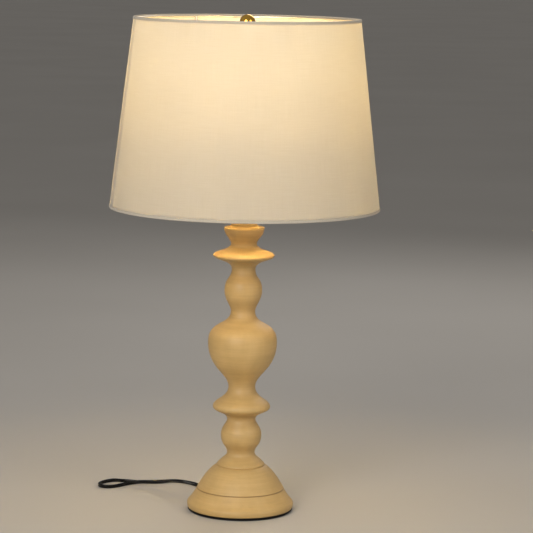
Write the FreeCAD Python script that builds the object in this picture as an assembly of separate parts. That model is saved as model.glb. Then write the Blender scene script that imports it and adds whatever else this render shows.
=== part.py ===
import FreeCAD, Part
import math
import os

V = FreeCAD.Vector
Z = V(0, 0, 1)

# Table lamp: turned wooden column on a weighted bell base, harp-mounted drum shade.
# Millimetres. Origin on the table under the column's axis, +Z up, -Y towards the viewer.

# Base
FELT_R = 68.6
FELT_T = 1.0
PLATE_R = 69.6
PLATE_T = 2.6
WOOD_Z = FELT_T + PLATE_T
LIP_R = 70.6
POCKET_R = 52.0
POCKET_TOP = 23.0
BALLAST_R = 42.0
BALLAST_TOP = 33.0
SCREW_RING_R = 59.5

# Column: (radius, height) where the profile runs upright, at each neck and bulge
NECK_A = (18.4, 77.7)
BALL = (26.9, 101.3)
NECK_B = (18.9, 122.3)
DISC = (38.0, 139.1)
NECK_C = (17.8, 166.5)
URN = (45.6, 226.0)
NECK_D = (16.1, 267.5)
VASE = (24.8, 294.5)
NECK_E = (15.7, 323.4)
FLANGE = (40.3, 341.2)
NECK_F = (17.0, 356.8)
CUP = (26.4, 377.0)
COLUMN_TOP = 384.0
BORE_R = 5.0

# Pipe and socket hardware
PIPE_R = 4.95
PIPE_BORE_R = 3.5
PIPE_LOW = 10.0
PIPE_HIGH = 412.0
RING_TOP = 386.5
SADDLE_Z = 404.0
SADDLE_T = 1.6
SADDLE_X = 26.8
SADDLE_W = 12.0
POST_R = 1.9
SOCKET_Z = SADDLE_Z + SADDLE_T
BODY_Z = 424.0
BODY_TOP = 438.0
SHELL_R = 17.6
SHELL_TOP = 464.0
SCREW_SHELL_R = 13.05
SWITCH_Z = 431.0
WIRE_R = 1.1
WIRE_GAP = 1.45
CORD_AZ = 135.0
CORD_Z = 16.5

# Bulb (A19, E26)
BULB_R = 30.0
BULB_LOW = 440.1
BULB_SEAT = 461.2
BULB_TOP = 549.0

# Harp, shade and finial
HARP_ROD_R = 2.2
HARP_FOOT_R = 3.4
HARP_TOP = 622.0
STUD_R = 3.175
COLLAR_TOP = 626.0
SHADE_LOW = 404.9
SHADE_HIGH = 651.6
SHADE_LOW_R = 177.2
SHADE_HIGH_R = 147.8
CLOTH_T = 0.5
TRIM_T = 0.6
TRIM_H = 4.2
RING_WIRE_R = 1.5
ARM_R = 1.6
ARM_AZ = (118.5, 238.5, 358.5)
BALL_FINIAL_R = 10.3
FINIAL_TOP = 656.7

# Cord
CORD_D = 5.2
COIL_AT = (-6.0, 117.0)
COIL_R = 29.4
COIL_HALF_W = 12.6
COIL_LOW = 0.6
COIL_HIGH = 11.0
COIL_TURNS = 7.3
CORD_ROUTE = [
    (-52.33, 52.33, 16.5),
    (-61.5, 61.5, 16.5),
    (-73.5, 63.5, 20.0),
    (-87.5, 69.0, 21.4),
    (-101.0, 85.0, 15.0),
    (-115.0, 99.5, 9.9),
    (-133.0, 109.0, 8.4),
    (-150.0, 113.5, 8.8),
    (-164.5, 115.5, 8.8),
    (-175.5, 129.5, 6.2),
    (-187.3, 131.5, 3.8),
    (-195.5, 123.5, 2.7),
    (-195.5, 112.3, 2.6),
    (-187.3, 104.3, 2.6),
    (-175.8, 105.8, 2.6),
    (-165.5, 115.0, 2.6),
    (-155.0, 127.5, 2.6),
    (-141.5, 137.0, 2.6),
    (-124.0, 136.5, 2.6),
    (-106.0, 141.0, 2.6),
    (-91.0, 146.5, 2.6),
    (-77.0, 140.0, 2.6),
    (-63.5, 129.5, 2.6),
    (-54.5, 114.5, 2.6),
    (-43.5, 101.5, 2.7),
    (-32.2, 91.0, 2.8),
]

TAIL_ROUTE = [
    (30.9, 127.3, 8.2),
    (31.4, 139.0, 8.0),
    (33.0, 150.5, 7.8),
    (32.4, 161.5, 7.7),
    (26.5, 170.0, 7.6),
    (17.0, 174.0, 7.6),
]


def polar(radius, azimuth, z):
    a = math.radians(azimuth)
    return V(radius * math.cos(a), radius * math.sin(a), z)


def tube(r_out, r_in, z0, z1):
    outer = Part.makeCylinder(r_out, z1 - z0, V(0, 0, z0))
    return outer.cut(Part.makeCylinder(r_in, z1 - z0, V(0, 0, z0)))


def line(a, b):
    return Part.makeLine(V(a[0], 0, a[1]), V(b[0], 0, b[1]))


def bezier(*poles):
    curve = Part.BezierCurve()
    curve.setPoles([V(r, 0, z) for r, z in poles])
    return curve.toShape()


def upright(a, b, handle_a, handle_b):
    """A profile curve that leaves a and reaches b running parallel to the axis."""
    return bezier(a, (a[0], a[1] + handle_a), (b[0], b[1] - handle_b), b)


def revolved(edges):
    face = Part.Face(Part.Wire(edges))
    return face.revolve(V(0, 0, 0), Z, 360)


def turned(points):
    """Solid of revolution from a closed polygon of (radius, height) corners."""
    loop = list(points) + [points[0]]
    return revolved([line(a, b) for a, b in zip(loop[:-1], loop[1:])])


def rounded_path(points, radii=None):
    """Straight runs joined by tangent arcs, with the radii used."""
    pts = [V(*p) for p in points]
    used = []
    edges = []
    start = pts[0]
    for i in range(1, len(pts) - 1):
        before = pts[i] - pts[i - 1]
        after = pts[i + 1] - pts[i]
        half = before.getAngle(after) / 2
        cut = 0.45 * min(before.Length, after.Length)
        radius = cut / math.tan(half)
        if radii and radii[i - 1]:
            radius = min(radius, radii[i - 1])
            cut = radius * math.tan(half)
        d0 = V(before).normalize()
        d1 = V(after).normalize()
        a = pts[i] - d0 * cut
        b = pts[i] + d1 * cut
        inward = (d1 - d0).normalize()
        mid = pts[i] + inward * (radius / math.cos(half) - radius)
        edges.append(Part.makeLine(start, a))
        edges.append(Part.Arc(a, mid, b).toShape())
        used.append(radius)
        start = b
    edges.append(Part.makeLine(start, pts[-1]))
    return Part.Wire(edges), used


def swept(wire, radius):
    edge = wire.Edges[0]
    start = edge.valueAt(edge.FirstParameter)
    ring = Part.Wire(Part.makeCircle(radius, start, edge.tangentAt(edge.FirstParameter)))
    return wire.makePipeShell([ring], True, True, 2)


# ---- base ----

def felt_pad():
    return Part.makeCylinder(FELT_R, FELT_T)


def screw_places():
    return [polar(SCREW_RING_R, a, 0) for a in (30, 150, 270)]


def foot_plate():
    plate = Part.makeCylinder(PLATE_R, PLATE_T, V(0, 0, FELT_T))
    plate = plate.makeChamfer(0.4, [e for e in plate.Edges if len(e.Vertexes) == 1])
    for p in screw_places():
        plate = plate.cut(Part.makeCone(3.65, 1.85, 2.0, p + V(0, 0, FELT_T)))
        plate = plate.cut(Part.makeCylinder(1.85, PLATE_T, p + V(0, 0, FELT_T)))
    return plate


def plate_screws():
    screws = []
    for p in screw_places():
        head = Part.makeCone(3.6, 1.6, 2.0, p + V(0, 0, FELT_T))
        shank = Part.makeCylinder(1.6, 10.0, p + V(0, 0, FELT_T + 2.0))
        tip = Part.makeCone(1.6, 0.2, 2.0, p + V(0, 0, FELT_T + 12.0))
        screws.append(head.fuse([shank, tip]).removeSplitter())
    return Part.makeCompound(screws)


def base_bell():
    lip = (LIP_R, 9.0)
    edges = [
        line((POCKET_R, WOOD_Z), (69.0, WOOD_Z)),
        bezier((69.0, WOOD_Z), (70.2, 4.2), (LIP_R, 6.2), lip),
        bezier(lip, (LIP_R, 11.1), (69.8, 12.2), (68.3, 13.7)),
        bezier((68.3, 13.7), (64.5, 17.4), (60.7, 23.8), (57.9, 28.9)),
        line((57.9, 28.9), (56.6, 29.4)),
        line((56.6, 29.4), (57.5, 29.9)),
        bezier((57.5, 29.9), (50.5, 42.8), (41.5, 55.2), (33.4, 59.9)),
        line((33.4, 59.9), (31.4, 60.5)),
        bezier((31.4, 60.5), (33.0, 62.4), (29.8, 64.1), (27.4, 66.8)),
        bezier((27.4, 66.8), (23.6, 71.0), (NECK_A[0], 72.6), NECK_A),
        line(NECK_A, (BORE_R, NECK_A[1])),
        line((BORE_R, NECK_A[1]), (BORE_R, BALLAST_TOP)),
        line((BORE_R, BALLAST_TOP), (BALLAST_R, BALLAST_TOP)),
        line((BALLAST_R, BALLAST_TOP), (BALLAST_R, POCKET_TOP)),
        line((BALLAST_R, POCKET_TOP), (POCKET_R, POCKET_TOP)),
        line((POCKET_R, POCKET_TOP), (POCKET_R, WOOD_Z)),
    ]
    bell = revolved(edges)
    outward = polar(1, CORD_AZ, 0)
    bell = bell.cut(Part.makeCylinder(4.55, 30, polar(45, CORD_AZ, CORD_Z), outward))
    for p in screw_places():
        bell = bell.cut(Part.makeCylinder(1.65, 11.5, p + V(0, 0, WOOD_Z)))
    return bell


def column():
    edges = [
        line((BORE_R, NECK_A[1]), NECK_A),
        upright(NECK_A, BALL, 8.8, 14.6),
        upright(BALL, NECK_B, 11.1, 5.7),
        upright(NECK_B, DISC, 9.9, 6.3),
        upright(DISC, NECK_C, 10.0, 16.2),
        upright(NECK_C, URN, 16.9, 35.4),
        upright(URN, NECK_D, 28.4, 20.4),
        upright(NECK_D, VASE, 7.1, 12.3),
        upright(VASE, NECK_E, 18.0, 13.7),
        upright(NECK_E, FLANGE, 11.7, 5.3),
        upright(FLANGE, NECK_F, 5.2, 8.2),
        upright(NECK_F, CUP, 5.7, 8.8),
        bezier(CUP, (CUP[0], 378.1), (26.1, 378.8), (25.0, 378.9)),
        bezier((25.0, 378.9), (23.4, 378.9), (21.4, 377.9), (19.4, 378.2)),
        bezier((19.4, 378.2), (17.6, 378.5), (17.2, 380.4), (17.2, 383.4)),
        line((17.2, 383.4), (16.8, COLUMN_TOP)),
        line((16.8, COLUMN_TOP), (BORE_R, COLUMN_TOP)),
        line((BORE_R, COLUMN_TOP), (BORE_R, NECK_A[1])),
    ]
    return revolved(edges)


def ballast_weight():
    return tube(BALLAST_R - 0.4, 5.4, 20.0, BALLAST_TOP)


def pipe_washer():
    return tube(12.0, 5.1, 18.5, 20.0)


def hex_prism(across_flats, z0, z1):
    r = across_flats / math.sqrt(3)
    corners = [polar(r, 60 * k, z0) for k in range(7)]
    return Part.Face(Part.makePolygon(corners)).extrude(V(0, 0, z1 - z0))


def pipe_nut():
    nut = hex_prism(14.0, 13.5, 18.5)
    return nut.cut(Part.makeCylinder(BORE_R, 5.0, V(0, 0, 13.5)))


def threaded_pipe():
    return tube(PIPE_R, PIPE_BORE_R, PIPE_LOW, PIPE_HIGH)


def strain_relief():
    """Moulded bush: shoulder inside the bell, body in its wall, taper outside."""
    profile = [(0, 49.0), (6.0, 49.0), (6.0, 51.4), (4.5, 51.4), (4.5, 64.5), (3.3, 74.0), (0, 74.0)]
    bush = turned(profile)
    bush.rotate(V(0, 0, 0), V(0, 1, 0), 90)
    bush.rotate(V(0, 0, 0), Z, CORD_AZ)
    bush.translate(V(0, 0, CORD_Z))
    return bush


def lead_wires():
    """Two insulated leads from the bush, up the pipe, to the socket's terminals."""
    a = math.radians(CORD_AZ)
    radial = V(math.cos(a), math.sin(a), 0)
    side = V(-math.sin(a), math.cos(a), 0)
    wires = []
    for s in (-1, 1):
        flat = [radial * r + side * (s * WIRE_GAP) + V(0, 0, z)
                for r, z in ((49.0, CORD_Z), (42.0, CORD_Z), (30.0, 6.7), (0, 6.7), (0, 414.6))]
        flat.append(side * (s * 9.0) + V(0, 0, 419.0))
        flat.append(side * (s * 13.0) + V(0, 0, 426.2))
        path, radii = rounded_path(flat, [4, 6, 3.4, 5, 4])
        wires.append(swept(path, WIRE_R))
    return Part.makeCompound(wires)


# ---- socket ----

def check_ring():
    return turned([(BORE_R, COLUMN_TOP), (16.0, COLUMN_TOP), (16.0, 385.4), (14.6, RING_TOP),
                   (BORE_R, RING_TOP)])


def brass_neck():
    return turned([(BORE_R, RING_TOP), (9.0, RING_TOP), (9.0, 388.3), (7.2, 389.2), (7.2, 402.2),
                   (8.6, 403.0), (8.6, SADDLE_Z), (BORE_R, SADDLE_Z)])


def harp_saddle():
    w = SADDLE_W
    strip = Part.makeBox(2 * SADDLE_X + SADDLE_T, w, SADDLE_T,
                         V(-SADDLE_X - SADDLE_T / 2, -w / 2, SADDLE_Z))
    parts = []
    for s in (-1, 1):
        x = s * SADDLE_X
        parts.append(Part.makeBox(SADDLE_T, w, 4.0, V(x - SADDLE_T / 2, -w / 2, SADDLE_Z)))
        parts.append(Part.makeBox(SADDLE_T, 6.0, 7.6, V(x - SADDLE_T / 2, -3.0, SADDLE_Z)))
        parts.append(Part.makeCylinder(POST_R, 13.6, V(x, 0, SADDLE_Z + 6.4)))
    saddle = strip.fuse(parts).removeSplitter()
    return saddle.cut(Part.makeCylinder(BORE_R, SADDLE_T, V(0, 0, SADDLE_Z)))


def socket_cap():
    cap = turned([(BORE_R, SOCKET_Z), (7.2, SOCKET_Z), (7.2, 411.6), (10.5, 413.6), (16.0, 418.2),
                  (18.9, 422.6), (18.9, 427.0), (17.8, 427.0), (17.8, 423.0), (15.1, 419.2),
                  (9.8, 414.8), (7.6, 414.0), (BORE_R, 414.0)])
    return cap.cut(Part.makeCylinder(1.55, 8.0, V(0, 3.0, 408.8), V(0, 1, 0)))


def cap_set_screw():
    stem = Part.makeCylinder(1.5, 4.6, V(0, 5.0, 408.8), V(0, 1, 0))
    return stem.fuse(Part.makeCylinder(2.4, 1.8, V(0, 9.6, 408.8), V(0, 1, 0))).removeSplitter()


def socket_shell():
    shell = turned([(SHELL_R - 0.6, 423.2), (SHELL_R, 423.2), (SHELL_R, SHELL_TOP - 3.0),
                    (SHELL_R + 0.7, SHELL_TOP - 2.4), (SHELL_R + 0.7, SHELL_TOP - 0.6),
                    (SHELL_R, SHELL_TOP), (SHELL_R - 0.6, SHELL_TOP)])
    return shell.cut(Part.makeCylinder(3.2, 10, V(0, -12, SWITCH_Z), V(0, -1, 0)))


def socket_insulator():
    liner = tube(SHELL_R - 0.7, SHELL_R - 1.3, 423.2, SHELL_TOP - 1.0)
    return liner.cut(Part.makeCylinder(3.2, 10, V(0, -12, SWITCH_Z), V(0, -1, 0)))


def terminal_notch(s):
    notch = Part.makeBox(10.0, 10.0, 16.0, V(9.6, -5.0, BODY_Z - 1.0))
    notch.rotate(V(0, 0, 0), Z, CORD_AZ + 90 * s)
    return notch


def socket_body():
    body = Part.makeCylinder(SHELL_R - 1.5, BODY_TOP - BODY_Z, V(0, 0, BODY_Z))
    for s in (-1, 1):
        body = body.cut(terminal_notch(s))
    return body.cut(Part.makeCylinder(2.03, 9.5, V(0, -7.5, SWITCH_Z), V(0, -1, 0)))


def terminal_screws():
    screws = []
    for s in (-1, 1):
        out = polar(1, CORD_AZ + 90 * s, 0)
        screws.append(Part.makeCylinder(3.1, 3.0, out * 9.6 + V(0, 0, 430.2), out))
    return Part.makeCompound(screws)


def socket_screw_shell():
    return tube(SCREW_SHELL_R + 0.45, SCREW_SHELL_R, BODY_TOP, 461.0)


def centre_contact():
    strip = Part.makeBox(9.0, 4.0, 0.8, V(-4.5, -2.0, BODY_TOP))
    return strip.fuse(Part.makeCylinder(2.6, 1.95, V(0, 0, BODY_TOP))).removeSplitter()


def knob_shaft():
    return Part.makeCylinder(1.95, 17.8, V(0, -8.2, SWITCH_Z), V(0, -1, 0))


def switch_knob():
    knob = turned([(0, 22.0), (4.2, 22.0), (4.2, 24.6), (6.4, 25.4), (6.4, 35.6), (5.4, 36.8),
                   (0, 36.8)])
    knob.rotate(V(0, 0, 0), V(1, 0, 0), 90)
    knob.translate(V(0, 0, SWITCH_Z))
    return knob.cut(Part.makeCylinder(1.95, 4.0, V(0, -22.0, SWITCH_Z), V(0, -1, 0)))


# ---- bulb ----

def bulb_screw_shell():
    r = SCREW_SHELL_R - 0.09
    return turned([(r - 0.5, 443.2), (r, 443.2), (r, 460.6), (r - 0.5, 460.6)])


def bulb_cap_glass():
    """Insulating plug that closes the cap around its end contact."""
    return turned([(0, 440.9), (4.6, 440.9), (SCREW_SHELL_R - 0.6, 443.8),
                   (SCREW_SHELL_R - 0.6, 446.0), (0, 446.0)])


def bulb_contact():
    return Part.makeCylinder(4.0, 0.8, V(0, 0, BULB_LOW))


def bulb_outline(shrink):
    r = BULB_R - shrink
    neck = 13.4 - shrink
    top = BULB_TOP - shrink
    low = BULB_SEAT + shrink
    widest = (r, BULB_TOP - BULB_R)
    return [
        line((0, low), (neck, low)),
        line((neck, low), (neck, 470.0)),
        bezier((neck, 470.0), (neck + 0.6, 488.0), (r, 497.0), widest),
        bezier(widest, (r, widest[1] + 0.552 * r), (0.552 * r, top), (0, top)),
        line((0, top), (0, low)),
    ]


def bulb_glass():
    return revolved(bulb_outline(0)).cut(revolved(bulb_outline(0.9)))


def bulb_stem():
    low = BULB_SEAT + 0.9
    foot = turned([(0, low), (9.0, low), (5.0, low + 8.0), (2.4, low + 16.0), (2.0, low + 42.0),
                   (0, low + 42.0)])
    rods = []
    for s in (-1, 1):
        path, radii = rounded_path([(s * 3.0, 0, low + 8.0), (s * 3.0, 0, low + 18.0),
                                    (s * 11.0, 0, low + 38.0), (s * 12.0, 0, low + 52.0)])
        rods.append(swept(path, 0.5))
    coil, radii = rounded_path([(-12.0, 0, low + 52.0), (-5.0, 0, low + 56.0), (5.0, 0, low + 56.0),
                                (12.0, 0, low + 52.0)])
    return foot.fuse(rods + [swept(coil, 0.7)]).removeSplitter()


# ---- harp ----

def harp_loop():
    side = [(SADDLE_X, 0, 427.0), (SADDLE_X, 0, 444.0), (50, 0, 486), (56, 0, 540),
            (45, 0, 598), (23, 0, HARP_TOP)]
    other = [(-x, y, z) for x, y, z in reversed(side)]
    path, radii = rounded_path(side + other)
    loop = swept(path, HARP_ROD_R)
    pads = [Part.makeCylinder(6.0, 4.6, V(0, 0, HARP_TOP - 2.3))]
    for s in (-1, 1):
        pads.append(Part.makeCylinder(HARP_FOOT_R, 14.6, V(s * SADDLE_X, 0, 413.0)))
    loop = loop.fuse(pads).removeSplitter()
    loop = loop.cut(Part.makeCylinder(2.1, 8.0, V(0, 0, HARP_TOP - 4.0)))
    for s in (-1, 1):
        loop = loop.cut(Part.makeCylinder(POST_R + 0.08, 12.0, V(s * SADDLE_X, 0, 413.0)))
    return loop


def ferrule(s):
    sleeve = turned([(HARP_FOOT_R + 0.09, 412.4), (4.6, 412.4), (4.6, 424.6), (4.2, 425.4),
                     (HARP_FOOT_R + 0.09, 425.4)])
    sleeve.translate(V(s * SADDLE_X, 0, 0))
    return sleeve


def harp_stud():
    low = HARP_TOP - 2.3
    return turned([(0, low - 1.6), (3.4, low - 1.6), (3.8, low - 0.1), (2.04, low - 0.1),
                   (2.04, low + 4.65), (6.5, low + 4.65), (6.5, COLLAR_TOP), (STUD_R, COLLAR_TOP),
                   (STUD_R, 639.6), (2.6, 640.2), (0, 640.2)])


# ---- shade ----

def shade_point(along, out):
    """Section point: along the cloth's slope from its low edge, and out from its face."""
    slope = math.atan2(SHADE_LOW_R - SHADE_HIGH_R, SHADE_HIGH - SHADE_LOW)
    r = SHADE_LOW_R - along * math.sin(slope) + out * math.cos(slope)
    z = SHADE_LOW + TRIM_T + along * math.cos(slope) + out * math.sin(slope)
    return (r, z)


def shade_length():
    return math.hypot(SHADE_LOW_R - SHADE_HIGH_R, SHADE_HIGH - SHADE_LOW) - 2 * TRIM_T


def shade_layer(out_face, in_face):
    length = shade_length()
    return turned([shade_point(0, out_face), shade_point(length, out_face),
                   shade_point(length, in_face), shade_point(0, in_face)])


def shade_fabric():
    return shade_layer(0, -CLOTH_T)


def shade_liner():
    return shade_layer(-CLOTH_T, -2 * CLOTH_T)


def trim(edge, sign):
    """Folded tape around both layers at one rim; sign points into the sheet."""
    inner = -2 * CLOTH_T
    outline = [(TRIM_H, 0), (TRIM_H, TRIM_T), (-TRIM_T, TRIM_T), (-TRIM_T, inner - TRIM_T),
               (TRIM_H, inner - TRIM_T), (TRIM_H, inner), (0, inner), (0, 0)]
    return turned([shade_point(edge + sign * a, o) for a, o in outline])


def rim_wire_place(edge, sign):
    return shade_point(edge + sign * RING_WIRE_R, -2 * CLOTH_T - TRIM_T - RING_WIRE_R)


def bottom_ring():
    r, z = rim_wire_place(0, 1)
    return Part.makeTorus(r, RING_WIRE_R, V(0, 0, z))


def spider_fitter():
    """Washer hub, three dropped arms and the top rim wire, welded into one piece."""
    r, z = rim_wire_place(shade_length(), -1)
    level = COLLAR_TOP + ARM_R
    arms = []
    for azimuth in ARM_AZ:
        ends = [polar(6.0, azimuth, level), polar(r - 6.0, azimuth, level), polar(r, azimuth, z)]
        path, radii = rounded_path([tuple(p) for p in ends], [4.0])
        arms.append(swept(path, ARM_R))
    hub = Part.makeCylinder(10.0, 2.4, V(0, 0, COLLAR_TOP))
    ring = Part.makeTorus(r, RING_WIRE_R, V(0, 0, z))
    spider = hub.fuse(arms + [ring]).removeSplitter()
    return spider.cut(Part.makeCylinder(STUD_R + 0.09, 6.0, V(0, 0, COLLAR_TOP - 1.0)))


# ---- finial ----

def finial_base():
    low = COLLAR_TOP + 2 * ARM_R + 0.1
    return turned([(STUD_R + 0.09, low), (6.8, low), (6.8, low + 1.6), (4.6, low + 3.2),
                   (4.6, low + 6.4), (5.3, low + 7.4), (5.3, 637.55), (STUD_R + 0.09, 637.55)])


def finial_ball():
    centre = V(0, 0, FINIAL_TOP - BALL_FINIAL_R)
    ball = Part.makeSphere(BALL_FINIAL_R, centre)
    ball = ball.cut(Part.makeCylinder(20, 10, V(0, 0, 627.6)))
    return ball.cut(Part.makeCylinder(STUD_R + 0.09, 5.0, V(0, 0, 636.0)))


# ---- cord ----

def cord_run(name, route):
    path, radii = rounded_path(route)
    shape = swept(path, CORD_D / 2)
    print(name, "radii", [round(r, 1) for r in radii])
    print(name, "length", round(path.Length, 1), "volume ratio",
          round(shape.Volume / (path.Length * math.pi * CORD_D ** 2 / 4), 4))
    return shape


def cord_tube():
    return cord_run("cord_tube", CORD_ROUTE)


def cord_tail():
    return cord_run("cord_tail", TAIL_ROUTE)


def coil_section(grow):
    """Closed outline of the wound bundle, with eased corners."""
    w = COIL_HALF_W + grow
    low = COIL_LOW - grow
    high = COIL_HIGH + grow
    c = 2.4
    return [(COIL_R - w, low + c), (COIL_R - w + c, low), (COIL_R + w - c, low),
            (COIL_R + w, low + c), (COIL_R + w, high - c), (COIL_R + w - c, high),
            (COIL_R - w + c, high), (COIL_R - w, high - c)]


def cord_coil():
    print("coil length", round(COIL_TURNS * 2 * math.pi * COIL_R))
    coil = turned(coil_section(0))
    coil.translate(V(COIL_AT[0], COIL_AT[1], 0))
    return coil


def cord_tie():
    """Band around the bundle at the back of the coil."""
    outline = Part.makePolygon([V(r, 0, z) for r, z in coil_section(0.5) + coil_section(0.5)[:1]])
    band = Part.Face(outline).revolve(V(0, 0, 0), Z, 15)
    band.rotate(V(0, 0, 0), Z, 92)
    band.translate(V(COIL_AT[0], COIL_AT[1], 0))
    return band.cut(cord_coil())


def placed_plug(shape):
    """From plug axes (cord end at the origin, blades towards +X) to its place by the coil."""
    heading = math.degrees(math.atan2(4.0, -9.5))
    shape.rotate(V(0, 0, 0), Z, heading)
    shape.translate(V(*TAIL_ROUTE[-1]))
    return shape


def plug_body():
    neck = Part.makeCone(3.3, 5.4, 13.0, V(0, 0, 0), V(1, 0, 0))
    block = Part.makeBox(19.0, 24.0, 13.0, V(12.0, -12.0, -6.5))
    block = block.makeFillet(2.6, [e for e in block.Edges])
    body = neck.fuse(block).removeSplitter()
    return placed_plug(body)


def plug_blades():
    blades = []
    for y in (-6.35, 6.35):
        blades.append(Part.makeBox(16.0, 1.5, 6.3, V(31.0, y - 0.75, -3.15)))
    return placed_plug(Part.makeCompound(blades))


NODES = {
    "felt_pad": felt_pad,
    "foot_plate": foot_plate,
    "plate_screws": plate_screws,
    "base_bell": base_bell,
    "column": column,
    "ballast_weight": ballast_weight,
    "pipe_washer": pipe_washer,
    "pipe_nut": pipe_nut,
    "threaded_pipe": threaded_pipe,
    "strain_relief": strain_relief,
    "lead_wires": lead_wires,
    "check_ring": check_ring,
    "brass_neck": brass_neck,
    "harp_saddle": harp_saddle,
    "socket_cap": socket_cap,
    "cap_set_screw": cap_set_screw,
    "socket_shell": socket_shell,
    "socket_insulator": socket_insulator,
    "socket_body": socket_body,
    "terminal_screws": terminal_screws,
    "socket_screw_shell": socket_screw_shell,
    "centre_contact": centre_contact,
    "knob_shaft": knob_shaft,
    "switch_knob": switch_knob,
    "bulb_screw_shell": bulb_screw_shell,
    "bulb_cap_glass": bulb_cap_glass,
    "bulb_contact": bulb_contact,
    "bulb_glass": bulb_glass,
    "bulb_stem": bulb_stem,
    "harp_loop": harp_loop,
    "ferrule_left": lambda: ferrule(-1),
    "ferrule_right": lambda: ferrule(1),
    "harp_stud": harp_stud,
    "spider_fitter": spider_fitter,
    "bottom_ring": bottom_ring,
    "shade_liner": shade_liner,
    "shade_fabric": shade_fabric,
    "top_trim": lambda: trim(shade_length(), -1),
    "bottom_trim": lambda: trim(0, 1),
    "finial_base": finial_base,
    "finial_ball": finial_ball,
    "cord_tube": cord_tube,
    "cord_coil": cord_coil,
    "cord_tail": cord_tail,
    "cord_tie": cord_tie,
    "plug_body": plug_body,
    "plug_blades": plug_blades,
}

os.makedirs("parts", exist_ok=True)
for name, make in NODES.items():
    shape = make()
    if not shape.isValid():
        print("invalid", name)
    shape.exportStep("parts/" + name + ".step")
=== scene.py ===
"""Table lamp with shade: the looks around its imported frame.

Metres, with the origin on the floor under the column's axis and the viewer on the -Y side.
"""
import math

import bmesh
import bpy
from mathutils import Matrix, Vector, noise


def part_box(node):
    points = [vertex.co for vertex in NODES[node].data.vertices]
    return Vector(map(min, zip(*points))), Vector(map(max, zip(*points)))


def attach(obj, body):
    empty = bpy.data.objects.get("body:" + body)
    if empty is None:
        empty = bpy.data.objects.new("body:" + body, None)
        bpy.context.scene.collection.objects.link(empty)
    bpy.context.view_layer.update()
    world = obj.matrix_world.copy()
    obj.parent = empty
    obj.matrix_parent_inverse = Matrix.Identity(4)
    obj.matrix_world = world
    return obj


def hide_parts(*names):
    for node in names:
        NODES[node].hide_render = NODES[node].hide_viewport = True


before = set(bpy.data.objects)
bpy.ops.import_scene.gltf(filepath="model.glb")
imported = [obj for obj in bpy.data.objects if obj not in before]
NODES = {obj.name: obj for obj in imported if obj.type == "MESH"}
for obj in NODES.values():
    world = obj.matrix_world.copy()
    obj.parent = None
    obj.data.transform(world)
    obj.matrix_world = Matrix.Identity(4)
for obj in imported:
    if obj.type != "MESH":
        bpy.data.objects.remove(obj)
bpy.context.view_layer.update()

# The cord's real width and length are in metres; its route and its coil are in millimetres.
CORD_ROUTE = [
    (-52.33, 52.33, 16.5),
    (-61.5, 61.5, 16.5),
    (-73.5, 63.5, 20.0),
    (-87.5, 69.0, 21.4),
    (-101.0, 85.0, 15.0),
    (-115.0, 99.5, 9.9),
    (-133.0, 109.0, 8.4),
    (-150.0, 113.5, 8.8),
    (-164.5, 115.5, 8.8),
    (-175.5, 129.5, 6.2),
    (-187.3, 131.5, 3.8),
    (-195.5, 123.5, 2.7),
    (-195.5, 112.3, 2.6),
    (-187.3, 104.3, 2.6),
    (-175.8, 105.8, 2.6),
    (-165.5, 115.0, 2.6),
    (-155.0, 127.5, 2.6),
    (-141.5, 137.0, 2.6),
    (-124.0, 136.5, 2.6),
    (-106.0, 141.0, 2.6),
    (-91.0, 146.5, 2.6),
    (-77.0, 140.0, 2.6),
    (-63.5, 129.5, 2.6),
    (-54.5, 114.5, 2.6),
    (-43.5, 101.5, 2.7),
]
TAIL_ROUTE = [
    (31.4, 139.0, 8.0),
    (33.0, 150.5, 7.8),
    (32.4, 161.5, 7.7),
    (26.5, 170.0, 7.6),
    (17.0, 174.0, 7.6),
]
COIL_AT = (-6.0, 117.0)
COIL_OUT = 37.4
COIL_IN = 19.2
COIL_PITCH = 5.2
COIL_TURNS = 7.4167
COIL_LOW = 2.7
COIL_HIGH = 8.1
POINTS_PER_TURN = 16


# ---- camera and light ----

CAMERA_DISTANCE = 3.03267
CAMERA_HEIGHT = 0.74744
CAMERA_PAN = 0.0099
CAMERA_TILT = 0.1378
CAMERA_ROLL = 0.0170
LENS_MM = 157.16128
SENSOR_MM = 36.0
BULB_PLACE = (0, 0, 0.519)
BOUNCE_PLACE = (0, 0, 0.575)


def make_camera():
    """Long lens a little above the finial, tipped down to the middle of the lamp."""
    pan, tilt, roll = CAMERA_PAN, CAMERA_TILT, CAMERA_ROLL
    forward = Vector((math.sin(pan) * math.cos(tilt), math.cos(pan) * math.cos(tilt), -math.sin(tilt)))
    level = Vector((math.cos(pan), -math.sin(pan), 0))
    upright = level.cross(forward)
    right = level * math.cos(roll) + upright * math.sin(roll)
    up = upright * math.cos(roll) - level * math.sin(roll)
    data = bpy.data.cameras.new("camera")
    data.sensor_width = SENSOR_MM
    data.lens = LENS_MM
    data.clip_end = 200.0
    camera = bpy.data.objects.new("camera", data)
    turn = Matrix((right, up, -forward)).transposed()
    camera.matrix_world = Matrix.Translation((0, -CAMERA_DISTANCE, CAMERA_HEIGHT)) @ turn.to_4x4()
    bpy.context.scene.collection.objects.link(camera)
    bpy.context.scene.camera = camera


def make_light(name, kind, place, watts, colour):
    """A lamp of this kind, linked into the scene at its place."""
    data = bpy.data.lights.new(name, kind)
    data.energy = watts
    data.color = colour
    light = bpy.data.objects.new(name, data)
    light.location = place
    bpy.context.scene.collection.objects.link(light)
    return light


def area_light(name, place, target, size, watts, colour):
    """Round soft light that faces its target."""
    light = make_light(name, "AREA", place, watts, colour)
    light.data.shape = "DISK"
    light.data.size = size
    light.rotation_mode = "QUATERNION"
    light.rotation_quaternion = (Vector(target) - Vector(place)).to_track_quat("-Z", "Y")


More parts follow.
